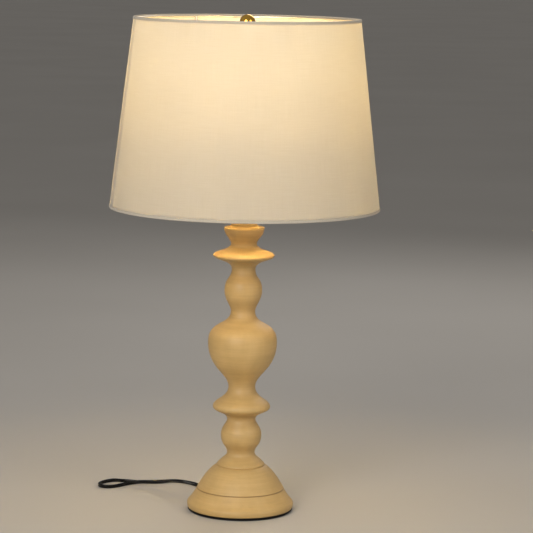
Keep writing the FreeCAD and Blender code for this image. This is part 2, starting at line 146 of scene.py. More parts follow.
def make_lights():
    """Studio key, fill and back lights, the lit bulb, and the light that the shade's lining sends down."""
    area_light("key_light", (-0.9, -2.1, 1.25), target=(0, 0, 0.28), size=1.4, watts=38.0,
               colour=(1.0, 0.95, 0.88))
    area_light("fill_light", (1.9, -1.6, 1.2), target=(0, 0, 0.3), size=1.6, watts=14.5,
               colour=(1.0, 0.96, 0.90))
    area_light("back_light", (0.6, 2.0, 1.7), target=(0, 0, 0.4), size=1.4, watts=12.0,
               colour=(1.0, 0.97, 0.93))
    bulb = make_light("bulb_light", "POINT", BULB_PLACE, watts=27.5, colour=(1.0, 0.72, 0.27))
    bulb.data.shadow_soft_size = 0.032
    area_light("shade_bounce", BOUNCE_PLACE, target=(0, 0, 0), size=0.27, watts=0.14,
               colour=(1.0, 0.68, 0.20))
    world = bpy.data.worlds.new("studio")
    world.use_nodes = True
    background = world.node_tree.nodes["Background"]
    background.inputs["Color"].default_value = (0.86, 0.84, 0.81, 1)
    background.inputs["Strength"].default_value = 0.28
    bpy.context.scene.world = world
    bpy.context.scene.view_settings.view_transform = "Standard"


# ---- node graphs ----

class Graph:
    """A material under construction: small helpers over its node tree."""

    def __init__(self, name):
        self.material = bpy.data.materials.new(name)
        self.material.use_nodes = True
        self.tree = self.material.node_tree
        self.tree.nodes.clear()
        self.output = self.tree.nodes.new("ShaderNodeOutputMaterial")

    def node(self, kind, inputs=None, **settings):
        """New node whose inputs are linked to sockets or set to values."""
        made = self.tree.nodes.new("ShaderNode" + kind)
        for key, value in settings.items():
            setattr(made, key, value)
        for key, value in (inputs or {}).items():
            if isinstance(value, bpy.types.NodeSocket):
                self.tree.links.new(value, made.inputs[key])
            else:
                made.inputs[key].default_value = value
        return made

    def math(self, operation, a, b=0.5):
        return self.node("Math", {0: a, 1: b}, operation=operation).outputs[0]

    def weighted(self, *parts):
        """Sum of (value, weight) pairs."""
        total = None
        for value, weight in parts:
            share = self.math("MULTIPLY", value, weight)
            total = share if total is None else self.math("ADD", total, share)
        return total

    def stretch(self, vector, scale):
        """The vector with each axis multiplied by its scale."""
        return self.node("Mapping", {"Vector": vector, "Scale": scale}).outputs[0]

    def position(self, scale=(1, 1, 1)):
        """Place on the object in metres, each axis multiplied by its scale."""
        return self.stretch(self.node("TexCoord").outputs["Object"], scale)

    def axes(self):
        """Place on the object, as separate X, Y and Z."""
        return self.node("SeparateXYZ", {"Vector": self.position()}).outputs

    def noise(self, vector, scale, detail=3.0, rough=0.55, distortion=0.0):
        made = self.node("TexNoise", {"Vector": vector, "Scale": scale, "Detail": detail,
                                      "Roughness": rough, "Distortion": distortion})
        return made.outputs["Fac"]

    def ramp(self, fac, stops, interpolation="LINEAR"):
        """Colour ramp through (place, colour) stops."""
        made = self.node("ValToRGB", {"Fac": fac})
        made.color_ramp.interpolation = interpolation
        elements = made.color_ramp.elements
        while len(elements) < len(stops):
            elements.new(0.5)
        for element, (at, colour) in zip(elements, stops):
            element.position = at
            element.color = (*colour, 1)
        return made.outputs["Color"]

    def spread(self, fac, low, high, to_low=0.0, to_high=1.0):
        """Maps low..high to to_low..to_high and holds the ends."""
        made = self.node("MapRange", {"Value": fac, "From Min": low, "From Max": high,
                                      "To Min": to_low, "To Max": to_high})
        return made.outputs["Result"]

    def mix(self, fac, a, b):
        """Mixes the colour of socket a with the plain colour b."""
        made = self.node("Mix", {"Factor": fac}, data_type="RGBA")
        self.tree.links.new(a, made.inputs[6])
        made.inputs[7].default_value = (*b, 1)
        return made.outputs[2]

    def bump(self, height, strength, distance, normal=None):
        """Fine relief, laid over another when its normal is given."""
        inputs = {"Height": height, "Strength": strength, "Distance": distance}
        if normal is not None:
            inputs["Normal"] = normal
        return self.node("Bump", inputs).outputs["Normal"]

    def principled(self, colour, roughness, normal=None, **constants):
        """Main shader; constants are its other sockets, with _ for a space."""
        inputs = {"Base Color": colour, "Roughness": roughness}
        if normal is not None:
            inputs["Normal"] = normal
        made = self.node("BsdfPrincipled", inputs)
        for key, value in constants.items():
            made.inputs[key.replace("_", " ")].default_value = value
        return made.outputs["BSDF"]

    def light_up(self, shader, colour, strength):
        """Makes a main shader give off light of this colour."""
        self.tree.links.new(colour, shader.node.inputs["Emission Color"])
        shader.node.inputs["Emission Strength"].default_value = strength

    def see_through(self, share, shader, colour, normal):
        """Lets this share of the light through to the other side."""
        passed = self.node("BsdfTranslucent", {"Color": colour, "Normal": normal}).outputs[0]
        return self.node("MixShader", {0: share, 1: shader, 2: passed}).outputs[0]

    def finish(self, shader):
        self.tree.links.new(shader, self.output.inputs["Surface"])
        return self.material


# ---- materials ----

# Heights and radii are metres: the scribed groove, the step on the bell, the necks, and where the necks'
# glaze and painted shade fade out.
WOOD_DARK = (0.49, 0.315, 0.115)
WOOD_MID = (0.58, 0.385, 0.150)
WOOD_LIGHT = (0.66, 0.455, 0.195)
WOOD_GLAZE_AND_SHADE = (0.30, 0.165, 0.05)
WOOD_CUT_STAIN_AND_SHADE = (0.20, 0.10, 0.035)
GROOVE_Z = 0.0294
STEP_Z = 0.0604
NECK_R, BULGE_R = 0.0165, 0.0270
NECK_SHADE_FULL_Z, NECK_SHADE_THIN_Z = 0.345, 0.360


def turned_wood():
    """Pale wood with long grain and fine lathe lines; darker in the necks from a glaze with painted shade,
    and darker along the cuts from stain with painted shade.
    """
    g = Graph("turned_wood_satin")
    grain = g.noise(g.position((1, 1, 0.07)), 95.0, 4.0, 0.6, 0.3)
    figure = g.noise(g.position((1, 1, 0.22)), 17.0, 2.0, 0.5, 0.8)
    rings = g.noise(g.position((0.05, 0.05, 1)), 520.0, 3.0, 0.7)
    bands = g.noise(g.position((0.09, 0.09, 1)), 110.0, 3.0, 0.55)
    tone = g.weighted((grain, 0.18), (figure, 0.26), (rings, 0.24), (bands, 0.32))
    colour = g.ramp(tone, [(0.34, WOOD_DARK), (0.50, WOOD_MID), (0.66, WOOD_LIGHT)])
    place = g.axes()
    height = place["Z"]
    square = g.math("ADD", g.math("POWER", place["X"], 2.0), g.math("POWER", place["Y"], 2.0))
    # Painted shade with a glaze: darker where the radius is small, in the necks, and less so up at the cup,
    # which the bulb lights.
    in_neck = g.spread(g.math("SQRT", square), NECK_R, BULGE_R, 0.34, 0.0)
    glaze_and_shade = g.math("MULTIPLY", in_neck, g.spread(figure, 0.3, 0.7, 0.6, 1.0))
    glaze_and_shade = g.math("MULTIPLY", glaze_and_shade, g.spread(height, NECK_SHADE_FULL_Z, NECK_SHADE_THIN_Z, 1.0, 0.15))
    colour = g.mix(glaze_and_shade, colour, WOOD_GLAZE_AND_SHADE)
    # Painted shade in the cuts: a dark line along the scribed groove, partly stain, and a faint band of
    # painted shade at the step.
    groove = g.math("ABSOLUTE", g.math("SUBTRACT", height, GROOVE_Z))
    step = g.math("ABSOLUTE", g.math("SUBTRACT", height, STEP_Z))
    cut_stain_and_shade = g.math("MAXIMUM", g.spread(groove, 0.0003, 0.0012, 0.42, 0.0),
                   g.spread(step, 0.0002, 0.0030, 0.03, 0.0))
    colour = g.mix(cut_stain_and_shade, colour, WOOD_CUT_STAIN_AND_SHADE)
    rough = g.spread(g.math("ADD", grain, rings), 0.7, 1.3, 0.44, 0.58)
    normal = g.bump(rings, 0.35, 0.00012)
    normal = g.bump(grain, 0.25, 0.00010, normal)
    return g.finish(g.principled(colour, rough, normal, Coat_Weight=0.06, Coat_Roughness=0.4))


def weave_height(g, u, v, pitch):
    """Plain weave from two crossed sets of threads, over and under in turn."""
    tu = g.math("MULTIPLY", u, math.pi / pitch)
    tv = g.math("MULTIPLY", v, math.pi / pitch)
    warp = g.math("ABSOLUTE", g.math("SINE", tu))
    weft = g.math("ABSOLUTE", g.math("SINE", tv))
    over = g.math("MULTIPLY", g.math("COSINE", tu), g.math("COSINE", tv))
    side = g.math("GREATER_THAN", over, 0.0)
    swap = g.math("SUBTRACT", 1.0, side)
    top = g.math("ADD", g.math("MULTIPLY", warp, side), g.math("MULTIPLY", weft, swap))
    low = g.math("ADD", g.math("MULTIPLY", weft, side), g.math("MULTIPLY", warp, swap))
    return g.math("MAXIMUM", top, g.math("MULTIPLY", low, 0.6))


# Painted glow: colour that the shade's cloth and liner give off by height, standing in for the bulb's light
# through them.
GLOW_LOW_Z, GLOW_HIGH_Z = 0.415, 0.650
PAINTED_GLOW_STOPS = [(0.0, (0.0, 0.0, 0.0)), (0.25, (0.03, 0.02, 0.008)), (0.5, (0.42, 0.285, 0.12)),
              (0.75, (0.93, 0.655, 0.29)), (1.0, (0.88, 0.62, 0.28))]
LINEN_PITCH, TAPE_PITCH = 0.00055, 0.0007


def painted_bulb_glow(g):
    """Painted glow of the lit bulb soaking through the shade, given off by the surface itself, strongest
    above its middle.
    """
    return g.ramp(g.spread(g.axes()["Z"], GLOW_LOW_Z, GLOW_HIGH_Z), PAINTED_GLOW_STOPS, "EASE")


def linen(name, dark, light, pitch, see_through, painted_glow_strength=0.0):
    """Woven cloth with slubs that run with the threads; lets lamplight through, and gives off a painted glow
    of the bulb when it has a glow strength.
    """
    g = Graph(name)
    uv = g.node("TexCoord").outputs["UV"]
    across = g.node("SeparateXYZ", {"Vector": uv}).outputs
    weft = g.noise(g.stretch(uv, (0.035, 1, 1)), 900.0, 2.0, 0.6)
    warp = g.noise(g.stretch(uv, (1, 0.03, 1)), 800.0, 2.0, 0.6)
    cloud = g.noise(uv, 11.0, 2.0, 0.5)
    slub = g.weighted((weft, 0.5), (warp, 0.35), (cloud, 0.15))
    weave = weave_height(g, across["X"], across["Y"], pitch)
    colour = g.ramp(g.weighted((slub, 0.8), (weave, 0.2)), [(0.38, dark), (0.66, light)])
    height = g.math("ADD", weave, g.math("MULTIPLY", slub, 1.2))
    normal = g.bump(height, 0.45, 0.00012)
    cloth = g.principled(colour, 0.88, normal, Sheen_Weight=0.25, Sheen_Roughness=0.5)
    if painted_glow_strength:
        g.light_up(cloth, painted_bulb_glow(g), painted_glow_strength)
    return g.finish(g.see_through(see_through, cloth, colour, normal))


def styrene():
    """Translucent sheet behind the cloth, very slightly mottled, giving off a painted glow of the bulb."""
    g = Graph("shade_liner_styrene")
    mottle = g.noise(g.position(), 38.0, 3.0, 0.6)
    colour = g.ramp(mottle, [(0.3, (0.93, 0.90, 0.84)), (0.7, (0.96, 0.94, 0.89))])
    normal = g.bump(g.noise(g.position(), 420.0), 0.15, 0.00008)
    sheet = g.principled(colour, 0.42, normal)
    g.light_up(sheet, painted_bulb_glow(g), 0.66)
    return g.finish(g.see_through(0.70, sheet, colour, normal))


def metal(name, dark, light, rough_low, rough_high, scale=(1, 1, 1), grain=260.0, depth=0.00004):
    """Metal whose shine and tone vary with fine marks stretched along its finish."""
    g = Graph(name)
    marks = g.noise(g.position(scale), grain, 4.0, 0.65)
    cloud = g.noise(g.position(), 24.0, 3.0, 0.6)
    tone = g.weighted((marks, 0.5), (cloud, 0.5))
    colour = g.ramp(tone, [(0.35, dark), (0.62, light)])
    rough = g.spread(tone, 0.3, 0.7, rough_low, rough_high)
    normal = g.bump(marks, 0.3, depth)
    return g.finish(g.principled(colour, rough, normal, Metallic=1.0))


def coated(name, dark, light, rough_low, rough_high, grain=700.0, depth=0.00006, scale=(1, 1, 1), shine=0.5):
    """Paint, rubber, plastic or card: fine surface texture with slight wear in tone."""
    g = Graph(name)
    fine = g.noise(g.position(scale), grain, 2.0, 0.6)
    broad = g.noise(g.position(), 30.0, 3.0, 0.6)
    tone = g.weighted((fine, 0.4), (broad, 0.6))
    colour = g.ramp(tone, [(0.35, dark), (0.65, light)])
    rough = g.spread(broad, 0.3, 0.7, rough_low, rough_high)
    normal = g.bump(fine, 0.3, depth)
    return g.finish(g.principled(colour, rough, normal, Specular_IOR_Level=shine))


def felt():
    """Matt black pile, clumped in places."""
    g = Graph("felt_pile")
    fibres = g.noise(g.position((1, 1, 3)), 1400.0, 4.0, 0.75, 1.5)
    clumps = g.noise(g.position(), 160.0, 3.0, 0.6)
    tone = g.weighted((fibres, 0.6), (clumps, 0.4))
    colour = g.ramp(tone, [(0.35, (0.003, 0.003, 0.003)), (0.7, (0.014, 0.0135, 0.013))])
    normal = g.bump(tone, 0.8, 0.0004)
    return g.finish(g.principled(colour, 0.95, normal, Sheen_Weight=0.12, Sheen_Roughness=0.6))


COLLAR_Z, BRIGHT_Z = 0.462, 0.505


def frosted_bulb():
    """Lit frosted bulb: brightest round its middle, deeper in colour at the collar."""
    g = Graph("bulb_frosted_lit")
    frost = g.noise(g.position(), 900.0, 2.0, 0.5)
    level = g.spread(g.axes()["Z"], COLLAR_Z, BRIGHT_Z, 0.25, 1.0)
    glow = g.ramp(level, [(0.25, (1.0, 0.50, 0.18)), (0.7, (1.0, 0.70, 0.38)), (1.0, (1.0, 0.80, 0.52))])
    colour = g.ramp(frost, [(0.3, (0.90, 0.86, 0.78)), (0.7, (0.97, 0.94, 0.88))])
    normal = g.bump(frost, 0.2, 0.00003)
    glass = g.principled(colour, 0.45, normal)
    g.light_up(glass, glow, 5.0)
    return g.finish(glass)


def clear_glass(name):
    """Clear glass with faint waves."""
    g = Graph(name)
    waves = g.noise(g.position(), 60.0, 2.0, 0.5)
    tint = g.ramp(waves, [(0.3, (0.90, 0.95, 0.93)), (0.7, (0.97, 0.99, 0.98))])
    return g.finish(g.principled(tint, 0.05, g.bump(waves, 0.1, 0.0002), Transmission_Weight=1.0, IOR=1.5))


def floor_paper():
    """Plain pale backdrop paper."""
    g = Graph("floor_paper")
    soft = g.noise(g.position(), 1.3, 2.0, 0.5)
    colour = g.ramp(soft, [(0.3, (0.475, 0.45, 0.42)), (0.7, (0.505, 0.48, 0.45))])
    return g.finish(g.principled(colour, 0.85))


def make_materials():
    """Every finish by name; marks run round spun metal and along drawn metal."""
    spin = (0.06, 0.06, 1)
    drawn = (1, 1, 0.1)
    return {
        "wood": turned_wood(),
        "linen": linen("shade_linen_weave", (0.845, 0.83, 0.80), (0.905, 0.893, 0.87), LINEN_PITCH,
                       see_through=0.78, painted_glow_strength=0.19),
        "tape": linen("shade_tape_weave", (0.54, 0.49, 0.40), (0.72, 0.66, 0.56), TAPE_PITCH,
                      see_through=0.20),
        "styrene": styrene(),
        "foot": coated("foot_black_paint", (0.0015, 0.0015, 0.0015), (0.004, 0.0038, 0.0036), 0.42, 0.6,
                       shine=0.2),
        "felt": felt(),
        "iron": metal("cast_iron_raw", (0.05, 0.048, 0.045), (0.16, 0.155, 0.15), 0.55, 0.8, grain=500.0,
                      depth=0.0002),
        "zinc": metal("zinc_plate", (0.42, 0.43, 0.42), (0.66, 0.67, 0.66), 0.25, 0.42, spin),
        "brass": metal("brass_polished", (0.50, 0.29, 0.075), (0.80, 0.54, 0.20), 0.13, 0.28, spin),
        "old_brass": metal("finial_brass", (0.74, 0.37, 0.04), (1.0, 0.60, 0.12), 0.12, 0.24, grain=120.0),
        "nickel": metal("satin_nickel_wire", (0.70, 0.62, 0.50), (0.88, 0.80, 0.67), 0.38, 0.52, spin),
        "harp": metal("harp_nickel", (0.42, 0.40, 0.36), (0.68, 0.65, 0.60), 0.2, 0.36, drawn),
        "aluminium": metal("spun_aluminium", (0.60, 0.60, 0.60), (0.80, 0.80, 0.79), 0.28, 0.45, spin),
        "steel": metal("bright_steel", (0.45, 0.45, 0.46), (0.68, 0.68, 0.69), 0.16, 0.3, (1, 0.1, 1)),
        "rubber": coated("bush_rubber", (0.008, 0.008, 0.008), (0.02, 0.02, 0.02), 0.5, 0.68),
        "cord": coated("cord_pvc", (0.0012, 0.0012, 0.0012), (0.003, 0.003, 0.003), 0.14, 0.22, shine=0.30),
        "plug": coated("plug_pvc", (0.006, 0.006, 0.006), (0.016, 0.016, 0.016), 0.34, 0.5),
        "strap": coated("tie_strap", (0.010, 0.010, 0.011), (0.028, 0.028, 0.03), 0.5, 0.7, grain=900.0,
                        depth=0.0002, scale=(1, 1, 0.2)),
        "lead": coated("lead_insulation_pvc", (0.62, 0.59, 0.53), (0.78, 0.75, 0.69), 0.4, 0.55),
        "card": coated("socket_card", (0.28, 0.21, 0.13), (0.42, 0.33, 0.22), 0.75, 0.9, grain=320.0,
                       depth=0.0002),
        "phenolic": coated("phenolic_body", (0.012, 0.011, 0.010), (0.035, 0.032, 0.030), 0.18, 0.34),
        "bulb": frosted_bulb(),
        "glass": clear_glass("bulb_stem_clear"),
        "floor": floor_paper(),
    }


NODE_FINISH = {
    "wood": ("base_bell", "column"),
    "foot": ("foot_plate",),
    "iron": ("ballast_weight",),
    "zinc": ("plate_screws", "pipe_washer", "pipe_nut", "threaded_pipe", "cap_set_screw", "terminal_screws"),
    "rubber": ("strain_relief",),
    "lead": ("lead_wires",),
    "brass": ("check_ring", "brass_neck", "socket_cap", "socket_shell", "ferrule_left", "ferrule_right",
              "centre_contact", "plug_blades"),
    "old_brass": ("finial_base", "finial_ball"),
    "harp": ("harp_saddle", "harp_loop", "harp_stud"),
    "nickel": ("spider_fitter", "bottom_ring"),
    "card": ("socket_insulator",),
    "phenolic": ("socket_body", "bulb_cap_glass"),
    "aluminium": ("socket_screw_shell", "bulb_screw_shell", "bulb_contact"),
    "steel": ("knob_shaft",),
    "bulb": ("bulb_glass",),
    "glass": ("bulb_stem",),
    "styrene": ("shade_liner",),
}


def dress_nodes(materials):
    """Gives the CAD pieces that stay visible their finish."""
    for finish, names in NODE_FINISH.items():
        for name in names:
            data = NODES[name].data
            data.materials.clear()
            data.materials.append(materials[finish])


# ---- mesh helpers ----

def unit(value):
    """The value held between 0 and 1."""
    return min(1.0, max(0.0, value))


def mesh_object(name, vertices, faces, material):
    """Smooth-shaded object made of these vertices and faces."""
    data = bpy.data.meshes.new(name)
    data.from_pydata(vertices, [], faces)
    data.materials.append(material)
    data.update()
    data.polygons.foreach_set("use_smooth", [True] * len(data.polygons))
    obj = bpy.data.objects.new(name, data)
    bpy.context.scene.collection.objects.link(obj)
    return obj


def grid_faces(rows, columns, closed):
    """Quads over rows of columns, the last column joined to the first when closed."""
    faces = []
    across = columns if closed else columns - 1
    for i in range(rows - 1):
        for j in range(across):
            k = (j + 1) % columns
            faces.append((i * columns + j, i * columns + k, (i + 1) * columns + k, (i + 1) * columns + j))
    return faces


def end_faces(rows, columns):
    """One face over the first row of a closed grid and one over its last."""
    last = (rows - 1) * columns
    return [tuple(range(columns)), tuple(range(last, last + columns))]


def close_up(obj, extra_faces):
    """Adds faces given by vertex numbers and turns every face outwards."""
    bm = bmesh.new()
    bm.from_mesh(obj.data)
    bm.verts.ensure_lookup_table()
    for face in extra_faces:
        bm.faces.new([bm.verts[k] for k in face])
    bmesh.ops.recalc_face_normals(bm, faces=bm.faces)
    for face in bm.faces:
        face.smooth = True
    bm.to_mesh(obj.data)
    bm.free()


def crease(obj, degrees):
    """Sharp edges where faces meet at more than this angle."""
    limit = math.radians(degrees)
    bm = bmesh.new()
    bm.from_mesh(obj.data)
    for edge in bm.edges:
        if len(edge.link_faces) == 2:
            edge.smooth = edge.calc_face_angle(0.0) < limit
    bm.to_mesh(obj.data)
    bm.free()


def set_uv(obj, uv_of_vertex):
    """Lays the cloth out flat, in metres along and across its threads."""
    layer = obj.data.uv_layers.new(name="cloth")
    for loop in obj.data.loops:
        layer.data[loop.index].uv = uv_of_vertex[loop.vertex_index]


def thicken(obj, thickness, offset):
    """Gives a sheet its thickness, to one side (-1) or to both (0)."""
    body = obj.modifiers.new("thickness", "SOLIDIFY")
    body.thickness = thickness
    body.offset = offset


def lathe(name, profile, material, segments, shape=None):
    """Turned about +Z through (radius, height) points; shape(radius, height, angle) may change the radius."""
    vertices = []
    for r, z in profile:
        for j in range(segments):
            a = 2 * math.pi * j / segments
            radius = shape(r, z, a) if shape else r
            vertices.append((radius * math.cos(a), radius * math.sin(a), z))
    return mesh_object(name, vertices, grid_faces(len(profile), segments, True), material)


# ---- cord ----

# The leads are in millimetres, the coil's start in degrees and its climb to the second layer in turns.
LEAD_R = 1.6
LEAD_OFFSET = 1.0
COIL_START = 225.0
CLIMB_EARLY = 0.1
CLIMB_TURNS = 0.22
# The flex leans over at this point of the route, fully for two points on each side and not at all past six.
LYING_POINT = 3.0
LYING_FULL = 2.0
LYING_GONE = 6.0


def cord_section():
    """Outline of twin flex: two round leads side by side with a shallow waist."""
    reach = math.acos(-LEAD_OFFSET / LEAD_R)
    steps = 8
    points = []
    for side in (1, -1):
        for k in range(steps + 1):
            a = -reach + 2 * reach * k / steps
            points.append((side * (LEAD_OFFSET + LEAD_R * math.cos(a)), side * LEAD_R * math.sin(a)))
    curve = bpy.data.curves.new("cord_section", "CURVE")
    curve.dimensions = "2D"
    spline = curve.splines.new("POLY")
    spline.points.add(len(points) - 1)
    for point, (x, y) in zip(spline.points, points):
        point.co = (x / 1000, y / 1000, 0, 1)
    spline.use_cyclic_u = True
    section = bpy.data.objects.new("cord_section", curve)
    bpy.context.scene.collection.objects.link(section)
    section.hide_render = True
    section.hide_viewport = True
    return section


def coil_points():
    """Half the turns wind inwards on the floor, then the rest outwards on top of them."""
    points = []
    inward = (COIL_OUT - COIL_IN) / COIL_PITCH
    count = round(COIL_TURNS * POINTS_PER_TURN)
    for k in range(count + 1):
        t = COIL_TURNS * k / count
        r = COIL_OUT - COIL_PITCH * t if t < inward else COIL_IN + COIL_PITCH * (t - inward)
        rise = unit((t - inward + CLIMB_EARLY) / CLIMB_TURNS)
        z = COIL_LOW + (COIL_HIGH - COIL_LOW) * rise * rise * (3 - 2 * rise)
        a = math.radians(COIL_START) + 2 * math.pi * t
        loose = r + 0.35 * math.sin(2.3 * a + 0.7)
        points.append((COIL_AT[0] + loose * math.cos(a), COIL_AT[1] + loose * math.sin(a), z))
    return points


def make_cord(materials):
    """One spline from the bush, round the small loop and into the tied coil, to the plug.

    The flex stands on edge where it bends on the floor and leans over in the air behind the base.
    """
    route = CORD_ROUTE + coil_points() + TAIL_ROUTE
    curve = bpy.data.curves.new("power_cord", "CURVE")
    curve.dimensions = "3D"
    curve.twist_mode = "Z_UP"
    curve.resolution_u = 6
    curve.use_fill_caps = True
    curve.bevel_mode = "OBJECT"
    curve.bevel_object = cord_section()
    spline = curve.splines.new("NURBS")
    spline.points.add(len(route) - 1)
    for k, (point, (x, y, z)) in enumerate(zip(spline.points, route)):
        point.co = (x / 1000, y / 1000, z / 1000, 1)
        lying = unit((LYING_GONE - abs(k - LYING_POINT)) / (LYING_GONE - LYING_FULL))
        point.tilt = math.pi / 2 * (1 - 0.8 * lying)
    spline.order_u = 3
    spline.use_endpoint_u = True
    curve.materials.append(materials["cord"])
    cord = bpy.data.objects.new("power_cord", curve)
    bpy.context.scene.collection.objects.link(cord)
    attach(cord, "base")
    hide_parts("cord_tube", "cord_coil", "cord_tail")
    return cord


# ---- plug and tie ----

# Millimetres. Each station of the plug is its distance from the cord, half width, half height and squareness.
PLUG_BODY = [
    (12.6, 6.2, 5.3, 2.6),
    (13.6, 9.6, 6.0, 3.2),
    (15.2, 11.3, 6.4, 4.0),
    (17.0, 11.9, 6.5, 5.0),
    (19.0, 11.6, 6.2, 5.0),
    (22.0, 10.9, 5.7, 4.6),
    (25.0, 10.9, 5.7, 4.6),
    (27.6, 11.6, 6.2, 5.0),
    (29.4, 11.9, 6.5, 5.0),
    (30.6, 11.6, 6.3, 4.6),
    (31.0, 11.0, 5.8, 4.2),
]
PLUG_NECK = 12.0
PLUG_HEADING = math.atan2(4.0, -9.5)
TIE_IN, TIE_OUT = 15.9, 42.9
TIE_LOW, TIE_HIGH = 0.25, 11.3
TIE_CORNER = 2.6
TIE_WIDTH = 9.0
TIE_THICK = 0.9
TIE_AZIMUTH = 99.5


def plug_frame():
    """Matrix from plug axes (cord end at the origin, blades to +X) to its place."""
    x, y, z = TAIL_ROUTE[-1]
    return Matrix.Translation((x / 1000, y / 1000, z / 1000)) @ Matrix.Rotation(PLUG_HEADING, 4, "Z")


def rounded_ring(half_y, half_z, power, segments):
    """Superellipse outline, square-shouldered for a high power."""
    ring = []
    for j in range(segments):
        a = 2 * math.pi * j / segments
        c, s = math.cos(a), math.sin(a)
        ring.append((math.copysign(abs(c) ** (2 / power), c) * half_y,
                     math.copysign(abs(s) ** (2 / power), s) * half_z))
    return ring


def plug_neck():
    """Stations (x, half width, half height, power) of the tapered, ringed neck."""
    steps = 24
    stations = []
    for k in range(steps + 1):
        ringed = 2 < k < steps - 2 and (k // 2) % 2
        half = 3.2 + 1.9 * (k / steps) ** 1.3 + (0.35 if ringed else 0.0)
        stations.append((PLUG_NECK * k / steps, half + 0.3, half, 2.2))
    return stations


def make_plug(materials):
    """Moulded two-blade plug with its neck."""
    stations = plug_neck() + PLUG_BODY
    segments = 56
    vertices = []
    for x, half_y, half_z, power in stations:
        ring = rounded_ring(half_y, half_z, power, segments)
        vertices += [(x / 1000, y / 1000, z / 1000) for y, z in ring]
    faces = grid_faces(len(stations), segments, True)
    plug = mesh_object("plug_moulding", vertices, faces, materials["plug"])
    close_up(plug, end_faces(len(stations), segments))
    crease(plug, 38)
    plug.data.transform(plug_frame())
    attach(plug, "base")
    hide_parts("plug_body")
    return plug


def tie_outline():
    """Rounded rectangle round the coil's two layers: (distance from the coil's centre, height)."""
    near, far = TIE_IN + TIE_CORNER, TIE_OUT - TIE_CORNER
    bottom, top = TIE_LOW + TIE_CORNER, TIE_HIGH - TIE_CORNER
    steps = 6
    outline = []
    for r, z, start in ((far, top, 0), (near, top, 90), (near, bottom, 180), (far, bottom, 270)):
        for k in range(steps + 1):
            a = math.radians(start + 90 / steps * k)
            outline.append((r + TIE_CORNER * math.cos(a), z + TIE_CORNER * math.sin(a)))
    return outline


def make_tie(materials):
    """Strap with thinned edges round both layers of the coil."""
    outline = tie_outline()
    centre = ((TIE_IN + TIE_OUT) / 2, (TIE_LOW + TIE_HIGH) / 2)
    across = 7
    columns = 2 * across
    vertices = []
    for r, z in outline:
        away = Vector((r - centre[0], z - centre[1])).normalized()
        for side in (1, -1):
            for k in range(across):
                s = side * (2 * k / (across - 1) - 1)
                thinned = 0.25 * abs(s) ** 6
                push = TIE_THICK * 0.5 - thinned if side > 0 else thinned - TIE_THICK * 0.35
                height = max(0.05, z + away.y * push)
                vertices.append(((r + away.x * push) / 1000, s * TIE_WIDTH / 2000, height / 1000))
    strap = mesh_object("tie_strap", vertices, grid_faces(len(outline), columns, True), materials["strap"])
    last = (len(outline) - 1) * columns
    joint = []
    for j in range(columns):
        k = (j + 1) % columns
        joint.append((last + j, last + k, k, j))
    close_up(strap, joint)
    crease(strap, 50)
    place = Matrix.Translation((COIL_AT[0] / 1000, COIL_AT[1] / 1000, 0))
    strap.data.transform(place @ Matrix.Rotation(math.radians(TIE_AZIMUTH), 4, "Z"))
    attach(strap, "base")
    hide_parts("cord_tie")
    return strap


# ---- shade ----

# Metres and degrees: the cloth's two edges, the height where it is laid out flat, its seam and its laps.
LOW_Z, HIGH_Z = 0.4049, 0.6516
LOW_R, HIGH_R = 0.1772, 0.1478
FLAT_Z = 0.528
SLANT = math.hypot(HIGH_Z - LOW_Z, LOW_R - HIGH_R)
LEAN = math.atan2(LOW_R - HIGH_R, HIGH_Z - LOW_Z)
SEAM_AZIMUTH = 192.0
SEAM_LAP = 0.011
TAPE_LAP = 0.012
TAPE_IN = 0.00055
# The tape's own section is in millimetres.
TAPE_LEG = 2.9
TAPE_TUCK = 0.7
TAPE_HALF = 0.62
TAPE_STAND = 0.25


def shade_radius(z):
    """Radius of the shade at a height."""
    return LOW_R + (HIGH_R - LOW_R) * (z - LOW_Z) / (HIGH_Z - LOW_Z)


def lapped(turn):
    """0 round the shade, rising to 1 just before the end that laps over its own start."""
    return unit((turn - 2 * math.pi + 0.02) / 0.02)


def make_cloth(materials):
    """The linen laminated round the liner, its ends lapped at the seam."""
    rows, columns = 48, 420
    lap = SEAM_LAP / LOW_R
    flat_radius = shade_radius(FLAT_Z)
    vertices, uvs = [], []
    for i in range(rows):
        v = i / (rows - 1)
        z = LOW_Z + (HIGH_Z - LOW_Z) * v
        for j in range(columns):
            turn = j / (columns - 1) * (2 * math.pi + lap)
            a = math.radians(SEAM_AZIMUTH) + turn
            ripple = noise.noise(Vector((math.cos(a) * 2.1, math.sin(a) * 2.1, z * 9.0)))
            r = shade_radius(z) - 0.00012 + 0.00045 * lapped(turn) + 0.00010 * ripple
            vertices.append((r * math.cos(a), r * math.sin(a), z))
            uvs.append((turn * flat_radius, v * SLANT))
    cloth = mesh_object("linen_cloth", vertices, grid_faces(rows, columns, False), materials["linen"])
    set_uv(cloth, uvs)
    thicken(cloth, 0.00035, -1.0)
    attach(cloth, "shade")
    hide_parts("shade_fabric")
    return cloth


def tape_profile():
    """(out, up) in millimetres from the rim's middle: outer leg, roll over the edge, short inner leg."""
    steps = 9
    profile = [(TAPE_HALF, TAPE_LEG - TAPE_LEG * k / steps * 0.93) for k in range(steps)]
    for k in range(steps):
        a = math.pi * k / (steps - 1)
        profile.append((TAPE_HALF * math.cos(a), -TAPE_HALF * math.sin(a) * 0.9))
    profile += [(-TAPE_HALF - 0.04, TAPE_TUCK * k / 4) for k in range(1, 5)]
    return [(out + (TAPE_STAND if out > 0.001 else -TAPE_STAND), up) for out, up in profile]


